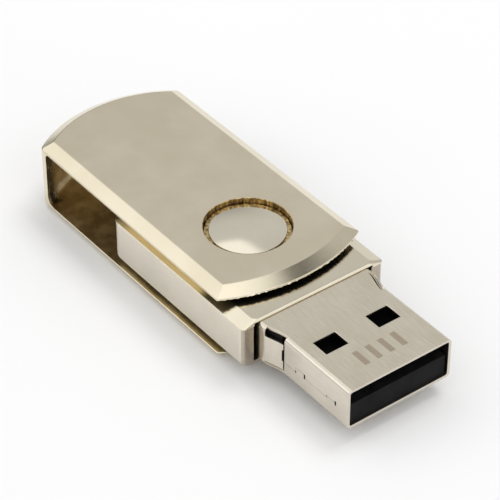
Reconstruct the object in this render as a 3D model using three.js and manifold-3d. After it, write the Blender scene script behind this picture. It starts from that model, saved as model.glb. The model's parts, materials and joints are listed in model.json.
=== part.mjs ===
// A swivel USB flash drive. A nickel-plated cast cover, shaped like a U lying on its side, turns about
// a pivot on a thin metal housing, and a USB type A plug stands out of the housing's open front.
//
// Millimetres, +Z up, +X towards the plug's tip. Everything is laid out from the pivot's axis, which
// stands on x = 0, y = 0, and the whole drive is then shifted along X so that its footprint is centred
// on the origin. The cover's underside lies on z = 0.
import * as THREE from 'three';
import { mergeVertices } from 'three/addons/utils/BufferGeometryUtils.js';
import Module from 'manifold-3d';

const wasm = await Module();
wasm.setup();

// ---------------------------------------------------------------- driving dimensions

// USB plug: a folded steel shell round a plastic tongue with four contacts.
const plugWidth = 12.0;
const plugHeight = 4.5;
const plugSheet = 0.3;
const plugEdgeRadius = 0.5;        // rounded long edges of the folded shell
const plugLength = 12.4;           // housing's front to the plug's tip
const plugInHousing = 3.6;         // length of shell behind the housing's front
const flareRise = 0.6;             // each side of the shell stands out by this much at its rear
const flareStart = 0.6;            // the rear width ends this far ahead of the housing's front
const flareLength = 2.7;           // taper from the rear width to the plug's width
const wingLength = 2.2;            // springy side wings, cut free of the shell round three edges
const wingGapAbove = 0.65;
const wingGapBelow = 0.3;
const wingSlit = 0.15;
const latchWidth = 1.3;            // notch that widens the slit in front of a wing
const windowLength = 1.95;
const windowWidth = 2.5;
const windowFromTip = 5.16;
const windowFromMiddle = 1.8;      // plug's centre line to a window's near edge
const legLength = 2.0;             // solder legs that grip the board behind the shell
const legHeight = 1.8;
const tongueInset = 0.44;          // shell's outer face to the tongue's side
const tongueRise = 0.36;           // tongue's upper face above the plug's middle
const tongueSetback = 0.25;        // plug's tip to the tongue's front
const cavityDepth = 9.8;           // open space over the tongue, from the tip

// Contacts: the outer pair reaches further forward than the data pair.
const contactThickness = 0.2;
const contactGroove = 0.15;
const contactTail = 2.0;           // length that lies on the board
const contacts = [
  { name: 'contact_power', y: -3.5, width: 1.3, setback: 1.1 },
  { name: 'contact_data_minus', y: -1.0, width: 1.0, setback: 2.1 },
  { name: 'contact_data_plus', y: 1.0, width: 1.0, setback: 2.1 },
  { name: 'contact_ground', y: 3.5, width: 1.3, setback: 1.1 },
];

// Housing: a bevelled lid on a tub, both of thin sheet.
const housingInset = 0.05;         // cover's side to housing's side
const housingFront = 10.0;         // pivot axis to the front face
const housingRear = 11.6;          // pivot axis to the middle of the rear face
const housingRearRadius = 36;      // the rear face bows out
const housingSheet = 0.3;
const housingFrontCorner = 0.45;
const housingRearCorner = 1.3;
const housingFootRadius = 0.8;     // rounded bottom edge of the tub
const lidBevelIn = 1.4;
const lidBevelDown = 0.63;
const lidOverhang = 0.12;          // the lid's front edge stands proud of the tub's front
const mouthGap = 0.32;             // plug to the edges of the housing's mouth, on each side
const earLength = 3.0;             // ears of the lid that grip the tub's walls from inside
const earThickness = 0.25;
const earDrop = 1.1;
const earPlaces = [-6.5, 4.5];

// Cover: one U-shaped casting with both ends arched.
const coverWidth = 16.7;
const coverPlate = 0.9;
const coverEndWall = 0.65;
const coverOpenReach = 8.4;        // pivot axis to the middle of the open end
const coverOpenRadius = 17.6;
const coverClosedRadius = 13.5;
const coverSwingClearance = 0.31;  // plug's corner to the end wall as the cover turns over it
const coverChamferIn = 1.2;
const coverChamferDown = 0.7;
const coverInnerFillet = 0.5;
const coverGap = 0.52;             // housing face to cover plate

// Pivot, the same above and below: a flanged bush in the cover's hole, held by a domed rivet.
const pivotHoleRadius = 4.25;
const pivotClearance = 0.07;       // spigot in the cover's hole, on the radius
const bushFlange = 1.15;           // flange beyond the hole, on the radius
const bushRunClearance = 0.08;     // bush's flange to the cover's plate
const spigotRise = 0.27;           // spigot's end above the plate's inner face
const rivetRingGap = 0.51;         // hole's wall to the rivet's head
const rivetRim = 0.12;
const rivetSink = 0.05;            // dome's crown below the cover's face
const rivetShankRadius = 1.9;
const rivetTailLip = 0.7;          // tail beyond the shank, on the radius
const rivetTail = 0.35;

// Circuit board, the parts soldered to it, and the plastic carrier round it.
const boardThickness = 0.8;
const boardRearGap = 2.0;          // housing's rear face to the board's rear edge
const boardInPlug = 0.3;           // shell's rear edge to the board's front edge
const boardLedge = 0.65;           // the carrier holds the board by this much of its edges
const carrierWall = 0.7;
const carrierFloor = 0.3;          // over the pocket for the rivet's tail
const flashMemory = { length: 11.5, width: 9.0, height: 0.8, y: 0 };

// The parts on the board's upper side stand in rows across it, from the contacts to the rear.
const small = { length: 1.0, width: 0.5, height: 0.5 };
const large = { length: 1.6, width: 0.8, height: 0.7 };
const flat = { length: 1.0, width: 0.5, height: 0.35 };
const boardRows = [
  [
    { name: 'controller_chip', kind: 'chip', length: 5.0, width: 5.0, height: 0.85, y: 0.6 },
    { name: 'resistor_4', kind: 'resistor', ...flat, y: -3.8 },
  ], [
    { name: 'capacitor_1', kind: 'capacitor', ...small, y: 3.6 },
    { name: 'capacitor_2', kind: 'capacitor', ...small, y: 2.4 },
    { name: 'resistor_1', kind: 'resistor', ...flat, y: -1.4 },
    { name: 'resistor_2', kind: 'resistor', ...flat, y: -2.6 },
    { name: 'resistor_3', kind: 'resistor', ...flat, y: -3.8 },
  ], [
    { name: 'capacitor_3', kind: 'capacitor', ...large, y: 3.4 },
    { name: 'capacitor_4', kind: 'capacitor', ...large, y: 1.4 },
    { name: 'crystal', kind: 'can', length: 2.5, width: 3.2, height: 0.7, y: -2.6 },
  ],
];

const seatGap = 0.03;              // between parts that rest on or in each other
const pocketGap = 0.1;             // between a part and the pocket it drops into
const roundSides = 48;
const arcSteps = 5;
const past = 5;                    // how far a cutting solid runs past what it cuts
const farAway = 60;

// ---------------------------------------------------------------- levels and places from them

const housingHeight = plugHeight + 2 * (seatGap + housingSheet);
const totalHeight = housingHeight + 2 * (coverGap + coverPlate);
const middle = totalHeight / 2;
const housingTop = middle + housingHeight / 2;
const housingFoot = middle - housingHeight / 2;
const partingLevel = housingTop - lidBevelDown;
const housingWidth = coverWidth - 2 * housingInset;
const plugTop = middle + plugHeight / 2;
const plugFoot = middle - plugHeight / 2;
const plugReach = housingFront + plugLength;
const plugRear = housingFront - plugInHousing;
const plugRearWidth = plugWidth + 2 * flareRise;
const flareFront = housingFront + flareStart + flareLength;
const tongueTop = middle + tongueRise;
const contactFoot = tongueTop - contactGroove;
const boardTop = contactFoot - seatGap;
const boardFoot = boardTop - boardThickness;
const boardRear = housingRear - boardRearGap;
const boardFront = plugRear - boardInPlug;
const boardHalf = plugRearWidth / 2 - plugSheet - seatGap;
const carrierFront = plugRear - legLength - pocketGap;
const rivetHeadRadius = pivotHoleRadius - rivetRingGap;
const rivetTailRadius = rivetShankRadius + rivetTailLip;

// The end wall's inside is an arch that the plug's corner just clears at the cover's side faces.
const archInside = coverClosedRadius - coverEndWall;
const archRise = archInside - Math.sqrt(archInside ** 2 - (coverWidth / 2) ** 2);
const tipSwing = Math.hypot(plugReach, plugWidth / 2) + coverSwingClearance;
const coverClosedReach = Math.sqrt(tipSwing ** 2 - (coverWidth / 2) ** 2) + archRise + coverEndWall;
const pivotX = (coverClosedReach - plugReach) / 2;

// ---------------------------------------------------------------- solids

function solid(geometry) {
  const bare = geometry.index ? geometry.toNonIndexed() : geometry.clone();
  bare.deleteAttribute('normal');
  bare.deleteAttribute('uv');
  const merged = mergeVertices(bare, 1e-4);
  return new wasm.Manifold(new wasm.Mesh({
    numProp: 3,
    vertProperties: merged.attributes.position.array,
    triVerts: new Uint32Array(merged.index.array),
  }));
}

// A box between two corners. Its Y corners may come in either order.
function box(x0, x1, ya, yb, z0, z1) {
  const shape = new THREE.BoxGeometry(x1 - x0, Math.abs(yb - ya), z1 - z0);
  return solid(shape.translate((x0 + x1) / 2, (ya + yb) / 2, (z0 + z1) / 2));
}

// A cylinder on the pivot's axis.
function post(radius, z0, z1) {
  const shape = new THREE.CylinderGeometry(radius, radius, z1 - z0, roundSides);
  return solid(shape.rotateX(Math.PI / 2).translate(0, 0, (z0 + z1) / 2));
}

// A flat outline raised from z0 to z1. An edge { inwards, along, steps } eases it at the top and the
// bottom: one step makes a chamfer, more make a round.
function raise(outline, z0, z1, edge = { inwards: 0, along: 0, steps: 0 }) {
  const shape = new THREE.ExtrudeGeometry(outline, {
    depth: z1 - z0 - 2 * edge.along,
    curveSegments: arcSteps,
    bevelEnabled: edge.steps > 0,
    bevelThickness: edge.along,
    bevelSize: edge.inwards,
    bevelOffset: -edge.inwards,
    bevelSegments: edge.steps,
  });
  return solid(shape.translate(0, 0, z0 + edge.along));
}

// ---------------------------------------------------------------- cover

// The arch whose crown is at reach along X, on a circle of this radius, out to y = -half and y = half.
function arch(outline, reach, radius, half) {
  const bow = Math.asin(half / radius);
  const facing = reach > 0 ? 0 : Math.PI;
  outline.absarc(reach - Math.sign(reach) * radius, 0, radius, facing - bow, facing + bow, false);
}

function swivelCover() {
  const half = coverWidth / 2;
  const outline = new THREE.Shape();
  outline.moveTo(0, -half);
  arch(outline, coverOpenReach, coverOpenRadius, half);
  arch(outline, -coverClosedReach, coverClosedRadius, half);
  const chamfer = { inwards: coverChamferIn, along: coverChamferDown, steps: 1 };
  const blank = raise(outline, 0, totalHeight, chamfer);

  // The space between the plates is open at both sides and at the open end.
  const beyond = half + past;
  const space = new THREE.Shape();
  space.moveTo(0, -beyond);
  space.lineTo(coverOpenReach + past, -beyond);
  space.lineTo(coverOpenReach + past, beyond);
  space.lineTo(-coverClosedReach + coverClosedRadius / 2, beyond);
  arch(space, coverEndWall - coverClosedReach, archInside, half + coverInnerFillet);
  space.lineTo(-coverClosedReach + coverClosedRadius / 2, -beyond);
  const fillet = { inwards: coverInnerFillet, along: coverInnerFillet, steps: 3 };
  return blank
    .subtract(raise(space, coverPlate, totalHeight - coverPlate, fillet))
    .subtract(post(pivotHoleRadius, -past, totalHeight + past));
}

// ---------------------------------------------------------------- housing

// The housing's outline from above, drawn in by inset. A corner radius of 0 leaves the corners sharp.
function housingOutline(inset, front, rearCorner, frontCorner) {
  const half = housingWidth / 2 - inset;
  const bow = housingRearRadius - inset;
  const centre = housingRearRadius - housingRear;
  const rearTurn = Math.asin((half - rearCorner) / (bow - rearCorner));
  const cornerX = centre - (bow - rearCorner) * Math.cos(rearTurn);
  const outline = new THREE.Shape();
  const corner = (x, y, radius, from, to) => (radius > 0
    ? outline.absarc(x, y, radius, from, to, false)
    : outline.lineTo(x, y));
  outline.moveTo(0, -half);
  corner(front - frontCorner, -half + frontCorner, frontCorner, -Math.PI / 2, 0);
  corner(front - frontCorner, half - frontCorner, frontCorner, 0, Math.PI / 2);
  corner(cornerX, half - rearCorner, rearCorner, Math.PI / 2, Math.PI - rearTurn);
  outline.absarc(centre, 0, bow, Math.PI - rearTurn, Math.PI + rearTurn, false);
  corner(cornerX, -half + rearCorner, rearCorner, Math.PI + rearTurn, 1.5 * Math.PI);
  return outline;
}

// The housing's space from z0 to z1: upright rounded corners, and the edge eased along the sides and
// the rear. The front is cut square.
function housingBlock(inset, front, edge, z0, z1) {
  const rearCorner = housingRearCorner - inset;
  const frontCorner = Math.max(housingFrontCorner - inset, 0);
  const walls = raise(housingOutline(inset, front, rearCorner, frontCorner), z0, z1);
  return walls.intersect(raise(housingOutline(inset, front + past, 0, 0), z0, z1, edge));
}

const footRound = (inset) => {
  const radius = Math.min(housingFootRadius, housingRearCorner) - inset;
  return { inwards: radius, along: radius, steps: 3 };
};
const lidBevel = { inwards: lidBevelIn, along: lidBevelDown, steps: 1 };

function lowerHousing() {
  const above = housingTop + past;
  const tub = housingBlock(0, housingFront, footRound(0), housingFoot, above);
  const hollow = housingBlock(
    housingSheet, housingFront - housingSheet, footRound(housingSheet), housingFoot + housingSheet, above,
  );
  const mouth = plugRearWidth / 2 + mouthGap;
  return tub
    .subtract(hollow)
    .subtract(box(0, housingFront + past, -mouth, mouth, housingFoot + housingSheet, above))
    .subtract(box(-farAway, farAway, -farAway, farAway, partingLevel, above + past))
    .subtract(post(rivetShankRadius + seatGap, 0, middle));
}

function upperHousing() {
  const front = housingFront + lidOverhang;
  const below = housingFoot - past;
  const block = housingBlock(0, front, lidBevel, below, housingTop);
  const hollow = housingBlock(housingSheet, front + past, lidBevel, below, housingTop - housingSheet);
  const lid = block
    .subtract(hollow)
    .subtract(box(-farAway, farAway, -farAway, farAway, below - past, partingLevel + seatGap));
  const wall = housingWidth / 2 - housingSheet - seatGap;
  const ears = earPlaces.flatMap((x) => [-1, 1].map((side) => box(
    x, x + earLength, side * (wall - earThickness), side * wall,
    partingLevel - earDrop, housingTop - housingSheet / 2,
  )));
  return ears
    .reduce((whole, ear) => whole.add(ear.intersect(block)), lid)
    .subtract(post(rivetShankRadius + seatGap, middle, totalHeight));
}

// ---------------------------------------------------------------- pivot, as it stands on the lid

function pivotBush() {
  const plate = totalHeight - coverPlate;
  const foot = housingTop + seatGap;
  return post(pivotHoleRadius + bushFlange, foot, plate - bushRunClearance)
    .add(post(pivotHoleRadius - pivotClearance, foot, plate + spigotRise))
    .subtract(post(rivetShankRadius + seatGap, middle, totalHeight));
}

function pivotRivet() {
  const tailTop = housingTop - housingSheet - seatGap;
  const headFoot = totalHeight - coverPlate + spigotRise + seatGap;
  const rise = totalHeight - rivetSink - headFoot - rivetRim;
  const domeRadius = (rivetHeadRadius ** 2 + rise ** 2) / (2 * rise);
  const domeTurn = Math.asin(rivetHeadRadius / domeRadius);
  const profile = new THREE.Path();
  profile.moveTo(0, tailTop - rivetTail);
  profile.lineTo(rivetTailRadius, tailTop - rivetTail);
  profile.lineTo(rivetTailRadius, tailTop);
  profile.lineTo(rivetShankRadius, tailTop);
  profile.lineTo(rivetShankRadius, headFoot);
  profile.lineTo(rivetHeadRadius, headFoot);
  profile.absarc(
    0, totalHeight - rivetSink - domeRadius, domeRadius, Math.PI / 2 - domeTurn, Math.PI / 2, false,
  );
  return solid(new THREE.LatheGeometry(profile.getPoints(arcSteps), roundSides).rotateX(Math.PI / 2));
}

// The same piece under the housing.
const underneath = (body) => body.rotate([180, 0, 0]).translate([0, 0, totalHeight]);

// ---------------------------------------------------------------- plug

// The plug's outline from above, drawn in by inset, with the flare behind its straight part.
function plugOutline(inset, rear, front) {
  const narrow = plugWidth / 2 - inset;
  const wide = plugRearWidth / 2 - inset;
  return new THREE.Shape([
    new THREE.Vector2(rear, -wide),
    new THREE.Vector2(flareFront - flareLength, -wide),
    new THREE.Vector2(flareFront, -narrow),
    new THREE.Vector2(front, -narrow),
    new THREE.Vector2(front, narrow),
    new THREE.Vector2(flareFront, narrow),
    new THREE.Vector2(flareFront - flareLength, wide),
    new THREE.Vector2(rear, wide),
  ]);
}

function plugShell() {
  const fold = (radius) => ({ inwards: radius, along: radius, steps: 3 });
  const long = plugOutline(0, plugRear - past, plugReach + past);
  const outer = raise(long, plugFoot, plugTop, fold(plugEdgeRadius))
    .intersect(box(plugRear, plugReach, -farAway, farAway, plugFoot, plugTop));
  const bore = raise(
    plugOutline(plugSheet, plugRear - 2 * past, plugReach + 2 * past),
    plugFoot + plugSheet, plugTop - plugSheet, fold(plugEdgeRadius - plugSheet),
  );
  let shell = outer.subtract(bore);

  const windowFront = plugReach - windowFromTip;
  const wallInside = plugWidth / 2 - plugEdgeRadius - plugSheet;
  const wingTop = plugTop - plugSheet - wingGapAbove;
  const wingFoot = plugFoot + plugSheet + wingGapBelow;
  const legFace = plugRearWidth / 2;
  for (const side of [-1, 1]) {
    // Windows go through the top face and the bottom face.
    const near = side * windowFromMiddle;
    const far = side * (windowFromMiddle + windowWidth);
    shell = shell.subtract(box(windowFront - windowLength, windowFront, near, far, 0, totalHeight));

    // Gaps above, below and in front of the wing, which stays joined to the shell at its rear.
    const gap = (length, z0, z1) => box(
      flareFront - length, flareFront, side * wallInside, side * (legFace + past), z0, z1,
    );
    shell = shell
      .subtract(gap(wingLength, wingTop, plugTop - plugSheet))
      .subtract(gap(wingLength, plugFoot + plugSheet, wingFoot))
      .subtract(gap(wingSlit, wingFoot, wingTop))
      .subtract(gap(2 * wingSlit, middle - latchWidth / 2, middle + latchWidth / 2));

    shell = shell.add(box(
      plugRear - legLength, plugRear + plugSheet, side * (legFace - plugSheet), side * legFace,
      middle - legHeight / 2, middle + legHeight / 2,
    ));
  }
  return shell;
}

function plugTongue() {
  const cavityRear = plugReach - cavityDepth;
  const block = raise(
    plugOutline(tongueInset, plugRear + plugSheet, plugReach - tongueSetback),
    plugFoot + plugSheet + seatGap, plugTop - plugSheet - seatGap,
  );
  const cavity = box(cavityRear, plugReach, -plugWidth, plugWidth, tongueTop, totalHeight);
  return contacts.reduce((body, { y, width, setback }) => body.subtract(box(
    plugRear - past, plugReach - setback + seatGap,
    y - width / 2 - seatGap, y + width / 2 + seatGap,
    contactFoot - seatGap, contactFoot + contactThickness + seatGap,
  )), block.subtract(cavity));
}

function contact({ y, width, setback }) {
  return box(
    boardFront - contactTail, plugReach - setback, y - width / 2, y + width / 2,
    contactFoot, contactFoot + contactThickness,
  );
}

// ---------------------------------------------------------------- board and carrier

function circuitBoard() {
  return box(-boardRear, boardFront, -boardHalf, boardHalf, boardFoot, boardTop);
}

// A part on the board, centred on x. Its foot stands on level.
function soldered({ length, width, height, y }, x, level) {
  return box(x - length / 2, x + length / 2, y - width / 2, y + width / 2, level, level + height);
}

const pocketRear = boardLedge - boardRear;
const flashX = (pocketRear + boardFront) / 2;
const flashLevel = boardFoot - seatGap - flashMemory.height;

// The rows share out what is left of the board between the contacts' tails and the rear ledge.
function rowPlaces() {
  const depths = boardRows.map((row) => Math.max(...row.map(({ length }) => length)));
  const start = boardFront - contactTail;
  const used = depths.reduce((sum, depth) => sum + depth, 0);
  const gap = (start - pocketRear - used) / (depths.length + 1);
  return depths.map((depth, i) => {
    const ahead = depths.slice(0, i).reduce((sum, each) => sum + each, 0);
    return start - gap * (i + 1) - ahead - depth / 2;
  });
}

const carrierRear = -boardRear - seatGap - carrierWall;
const carrierHalf = boardHalf + seatGap + carrierWall;
const carrierInset = housingSheet + pocketGap;
const ledge = boardHalf - boardLedge;

// The lower half is a tray: the board lies on its ledges, inside its rim.
function lowerCarrier() {
  const foot = housingFoot + housingSheet + seatGap;
  const tailRoof = foot + rivetTail + pocketGap;
  const floorTop = tailRoof + carrierFloor;
  return box(carrierRear, carrierFront, -carrierHalf, carrierHalf, foot, boardTop)
    .intersect(housingBlock(carrierInset, housingFront, footRound(carrierInset), foot, totalHeight))
    .subtract(box(
      -boardRear - seatGap, farAway, -boardHalf - seatGap, boardHalf + seatGap,
      boardFoot - seatGap, totalHeight,
    ))
    .subtract(box(pocketRear, farAway, -ledge, ledge, floorTop, totalHeight))
    .subtract(soldered(
      { ...flashMemory, height: flashMemory.height + seatGap }, flashX, flashLevel - seatGap,
    ))
    .subtract(post(rivetTailRadius + pocketGap, 0, tailRoof));
}

// The upper half presses the board down by its edges.
function upperCarrier() {
  const roof = housingTop - housingSheet - seatGap;
  const tailFloor = roof - rivetTail - pocketGap;
  return box(carrierRear, carrierFront, -carrierHalf, carrierHalf, boardTop + seatGap, roof)
    .intersect(housingBlock(carrierInset, housingFront, lidBevel, 0, roof))
    .subtract(box(pocketRear, farAway, -ledge, ledge, 0, tailFloor - carrierFloor))
    .subtract(post(rivetTailRadius + pocketGap, tailFloor, totalHeight));
}

// ---------------------------------------------------------------- assembly

const finishes = {
  nickel: { color: 0xc9c2ae, roughness: 0.22, metalness: 1 },
  dome: { color: 0xcfc9b6, roughness: 0.12, metalness: 1 },
  steel: { color: 0xc8c1ad, roughness: 0.3, metalness: 1 },
  brass: { color: 0x9a7b3c, roughness: 0.35, metalness: 1 },
  black: { color: 0x242424, roughness: 0.6, metalness: 0 },
  gold: { color: 0xd9a441, roughness: 0.25, metalness: 1 },
  board: { color: 0x1d5a2e, roughness: 0.5, metalness: 0 },
  chip: { color: 0x1a1a1c, roughness: 0.55, metalness: 0 },
  can: { color: 0xc4c6c8, roughness: 0.3, metalness: 1 },
  capacitor: { color: 0xa98a62, roughness: 0.6, metalness: 0 },
  resistor: { color: 0x141414, roughness: 0.5, metalness: 0 },
};

const drive = new THREE.Group();
drive.position.x = pivotX;

function place(name, body, finish) {
  const { vertProperties, triVerts } = body.getMesh();
  const geometry = new THREE.BufferGeometry();
  geometry.setAttribute('position', new THREE.BufferAttribute(vertProperties, 3));
  geometry.setIndex(new THREE.BufferAttribute(triVerts, 1));
  geometry.computeVertexNormals();
  const mesh = new THREE.Mesh(geometry, new THREE.MeshStandardMaterial(finishes[finish]));
  mesh.name = name;
  drive.add(mesh);
}

place('swivel_cover', swivelCover(), 'nickel');
place('upper_housing', upperHousing(), 'nickel');
place('lower_housing', lowerHousing(), 'nickel');
place('top_pivot_bush', pivotBush(), 'brass');
place('bottom_pivot_bush', underneath(pivotBush()), 'brass');
place('top_pivot_rivet', pivotRivet(), 'dome');
place('bottom_pivot_rivet', underneath(pivotRivet()), 'dome');
place('plug_shell', plugShell(), 'steel');
place('plug_tongue', plugTongue(), 'black');
contacts.forEach((each) => place(each.name, contact(each), 'gold'));
place('circuit_board', circuitBoard(), 'board');
place('flash_memory', soldered(flashMemory, flashX, flashLevel), 'chip');
rowPlaces().forEach((x, i) => boardRows[i].forEach((each) => (
  place(each.name, soldered(each, x, boardTop + seatGap), each.kind))));
place('lower_carrier', lowerCarrier(), 'black');
place('upper_carrier', upperCarrier(), 'black');

export default drive;
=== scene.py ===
# %% [markdown]
# # A swivel USB flash drive
# The mechanical model gives every part its place and its motion. This script gives the drive its
# looks: finer metalwork over the plain solids, a finish for each material, soft light and a camera.
# Shapes are worked out in millimetres, and each finished piece is scaled to metres once, at its end.

# %% Load the frame
import json
import random
from math import asin, atan2, copysign, cos, pi, radians, sin, sqrt

import bmesh
import bpy
from bmesh.types import BMEdge, BMFace, BMVert
from mathutils import Matrix, Vector

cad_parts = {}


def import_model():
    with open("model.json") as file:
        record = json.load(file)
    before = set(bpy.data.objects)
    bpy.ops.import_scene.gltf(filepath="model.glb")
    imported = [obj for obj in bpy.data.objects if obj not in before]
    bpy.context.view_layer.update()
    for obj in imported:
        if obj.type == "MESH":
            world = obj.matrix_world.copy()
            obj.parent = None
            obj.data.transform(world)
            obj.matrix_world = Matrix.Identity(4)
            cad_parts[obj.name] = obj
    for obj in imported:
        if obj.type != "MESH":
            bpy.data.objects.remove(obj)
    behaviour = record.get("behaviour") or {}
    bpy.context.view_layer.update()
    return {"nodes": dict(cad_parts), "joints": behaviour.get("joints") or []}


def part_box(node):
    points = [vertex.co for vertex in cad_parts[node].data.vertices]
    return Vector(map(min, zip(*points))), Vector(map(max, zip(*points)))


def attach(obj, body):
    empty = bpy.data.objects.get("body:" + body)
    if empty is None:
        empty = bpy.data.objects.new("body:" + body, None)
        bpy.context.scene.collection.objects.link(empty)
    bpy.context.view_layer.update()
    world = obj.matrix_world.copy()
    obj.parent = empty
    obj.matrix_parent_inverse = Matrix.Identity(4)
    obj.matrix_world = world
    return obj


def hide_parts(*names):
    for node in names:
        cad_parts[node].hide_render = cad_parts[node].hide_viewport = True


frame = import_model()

# %% [markdown]
# ## Places
# Every size that the mechanical model can tell is read from it, so none goes stale. A node's box
# gives its lowest and highest corner, and the swivel joint gives the pivot's axis. Only what a box
# can't tell, such as a radius or a sheet's thickness, is a number here.

# %% Corners in millimetres
MM = 1000.0


def corners(node):
    low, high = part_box(node)
    return low * MM, high * MM


cover_low, cover_high = corners("swivel_cover")
_, lid_high = corners("upper_housing")
tub_low, tub_high = corners("lower_housing")
plug_low, plug_high = corners("plug_shell")
pivot = Vector(frame["joints"][0]["pos_m"]) * MM
middle = (cover_low.z + cover_high.z) / 2
print("pivot at x =", round(pivot.x, 3), "middle height", round(middle, 3))

# %% [markdown]
# ## Writing finishes
# A finish is a net of nodes, joined by wires. Linked by hand, even a sum of three terms is a tangle.
# Here a sum of wires adds its own Math nodes, so a finish reads as a formula. Colours are mixed,
# never summed, because a Math node turns a colour grey.

# %% Wires
def both_ways(operation):
    """An operator's two methods: with the wire before the other term, and with it after."""
    def before(wire, other):
        return wire.paint.maths(operation, wire, other)

    def after(wire, other):
        return wire.paint.maths(operation, other, wire)

    return before, after


class Wire:
    """A node's output, with the sums that a number has."""
    __add__, __radd__ = both_ways("ADD")
    __sub__, __rsub__ = both_ways("SUBTRACT")
    __mul__, __rmul__ = both_ways("MULTIPLY")
    __truediv__, __rtruediv__ = both_ways("DIVIDE")
    __pow__, __rpow__ = both_ways("POWER")

    def __init__(self, paint, socket):
        self.paint, self.socket = paint, socket


# %% [markdown]
# One method makes every node: its settings first, because they can change its sockets, and then
# the values or wires that feed it. The other methods are short names for what a metal needs often.

# %% Nodes
class Nodes:
    """Writes nodes into one node tree."""

    def __init__(self, tree):
        self.tree = tree

    def node(self, kind, settings=None, inputs=None, output=0):
        made = self.tree.nodes.new(kind)
        for setting, value in (settings or {}).items():
            setattr(made, setting, value)
        for socket, value in (inputs or {}).items():
            self.feed(made.inputs[socket], value)
        return Wire(self, made.outputs[output])

    def maths(self, operation, a, b=0.0):
        return self.node("ShaderNodeMath", {"operation": operation}, {0: a, 1: b})

    def feed(self, socket, value):
        if isinstance(value, Wire):
            self.tree.links.new(value.socket, socket)
        elif socket.type == "RGBA":
            socket.default_value = (*value, 1)
        else:
            socket.default_value = value

    def place(self):
        return self.node("ShaderNodeTexCoord", output="Object")

    def stretch(self, vector, scale):
        return self.node("ShaderNodeMapping", None, {"Vector": vector, "Scale": scale})

    def noise(self, vector, size, detail=3.0, roughness=0.5):
        """Noise whose blotches are about size millimetres across."""
        inputs = {"Vector": vector, "Scale": MM / size, "Detail": detail, "Roughness": roughness}
        return self.node("ShaderNodeTexNoise", None, inputs)

    def between(self, value, low, high):
        """0 below low, 1 above high, and a smooth step between."""
        inputs = {"Value": value, "From Min": low, "From Max": high}
        return self.node("ShaderNodeMapRange", {"interpolation_type": "SMOOTHSTEP"}, inputs)

    def span(self, value, start, full):
        """0 at start and 1 at full, which are places in millimetres."""
        return self.between(value, start / MM, full / MM)

    def mix(self, amount, a, b):
        return self.node("ShaderNodeMix", {"data_type": "RGBA"}, {0: amount, 6: a, 7: b}, output=2)

    def axes(self, vector):
        split = self.node("ShaderNodeSeparateXYZ", None, {0: vector})
        return [Wire(self, output) for output in split.socket.node.outputs]

    def bump(self, height, depth, under=None):
        """A relief: height 0 to 1 stands for depth millimetres."""
        inputs = {"Height": height, "Distance": depth / MM, "Strength": 1.0}
        if under:
            inputs["Normal"] = under
        return self.node("ShaderNodeBump", None, inputs)


# %% Paint
class Paint(Nodes):
    """One material."""

    def __init__(self, name, **shader):
        self.material = bpy.data.materials.new(name)
        self.material.use_nodes = True
        super().__init__(self.material.node_tree)
        self.shader = self.tree.nodes["Principled BSDF"]
        self.set(**shader)

    def set(self, **inputs):
        for socket, value in inputs.items():
            self.feed(self.shader.inputs[socket.replace("_", " ")], value)
        return self


# %% [markdown]
# ## Nickel plate
# Nickel is a warm grey metal. Cast parts are polished before they are plated, which leaves a soft
# waviness, a fine grain and a few scratches. Rolled sheet keeps a grain along its length. A plain
# glossy grey would look like liquid, so gloss and slope change a little all over. One function
# writes both: the grain's stretch, its depth and the gloss set them apart.

# %% Hairline scratches
def hairlines(paint, where):
    """Thin scratches in two directions, 1 on a scratch."""
    lines = []
    for turn, shift in ((0.35, 3.0), (-0.6, 11.0)):
        inputs = {"Vector": where, "Rotation": (0, 0, turn), "Location": (shift, 0, 0)}
        turned = paint.node("ShaderNodeMapping", None, inputs)
        long = paint.noise(paint.stretch(turned, (1, 26, 1)), 3.2, detail=2)
        lines.append(paint.between(long, 0.70, 0.74))
    return lines[0] + lines[1]


# %% Nickel
WAVE_DEPTH, SCRATCHED = 0.0015, 0.35  # millimetres, and how strongly the scratches show
ROLLED = (0.3, 1, 1)  # rolling draws the grain out along x


def count_nodes(*paints):
    print("nodes:", {paint.name: len(paint.node_tree.nodes) for paint in paints})


def nickel(name, light, dark, gloss, grain=(1, 1, 1), grain_depth=0.0006):
    paint = Paint(name, Metallic=1.0)
    where = paint.place()
    cloud = paint.noise(where, 5.0, detail=4)
    fine = paint.noise(paint.stretch(where, grain), 0.16, detail=5, roughness=0.6)
    waves = paint.noise(where, 2.6, detail=1)
    hairs = hairlines(paint, where) * SCRATCHED
    tone = paint.between(cloud + (fine - 0.5) * 0.35, 0.3, 0.7)
    paint.set(Base_Color=paint.mix(tone, dark, light))
    paint.set(Roughness=gloss + (cloud - 0.5) * 0.08 + (fine - 0.5) * 0.10 + hairs * 0.15)
    relief = paint.bump(waves, WAVE_DEPTH)
    relief = paint.bump(fine - hairs * 0.8, grain_depth, relief)
    return paint.set(Normal=relief).material


cast_nickel = nickel("cast nickel", (0.82, 0.745, 0.58), (0.76, 0.685, 0.52), gloss=0.20)
sheet_nickel = nickel("sheet nickel", (0.84, 0.77, 0.62), (0.78, 0.71, 0.56), gloss=0.17, grain=ROLLED)
# painted shade: a darker, greyer copy of the sheet nickel, for the tub's walls, which mirror the floor
# and its shadow
shaded_tub_nickel = nickel("tub's nickel, painted shade", (0.75, 0.695, 0.595), (0.685, 0.64, 0.54), gloss=0.17, grain=ROLLED)
# painted shade: a darker copy for the tub's faces that look forwards, round the mouth
shaded_front_nickel = nickel("front nickel, painted shade", (0.53, 0.47, 0.39), (0.44, 0.385, 0.31), gloss=0.26)
dome_nickel = nickel(
    "domed nickel", (0.86, 0.80, 0.67), (0.81, 0.75, 0.61), gloss=0.12, grain_depth=0.0002,
)
count_nodes(cast_nickel, sheet_nickel, shaded_tub_nickel, shaded_front_nickel, dome_nickel)
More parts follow.
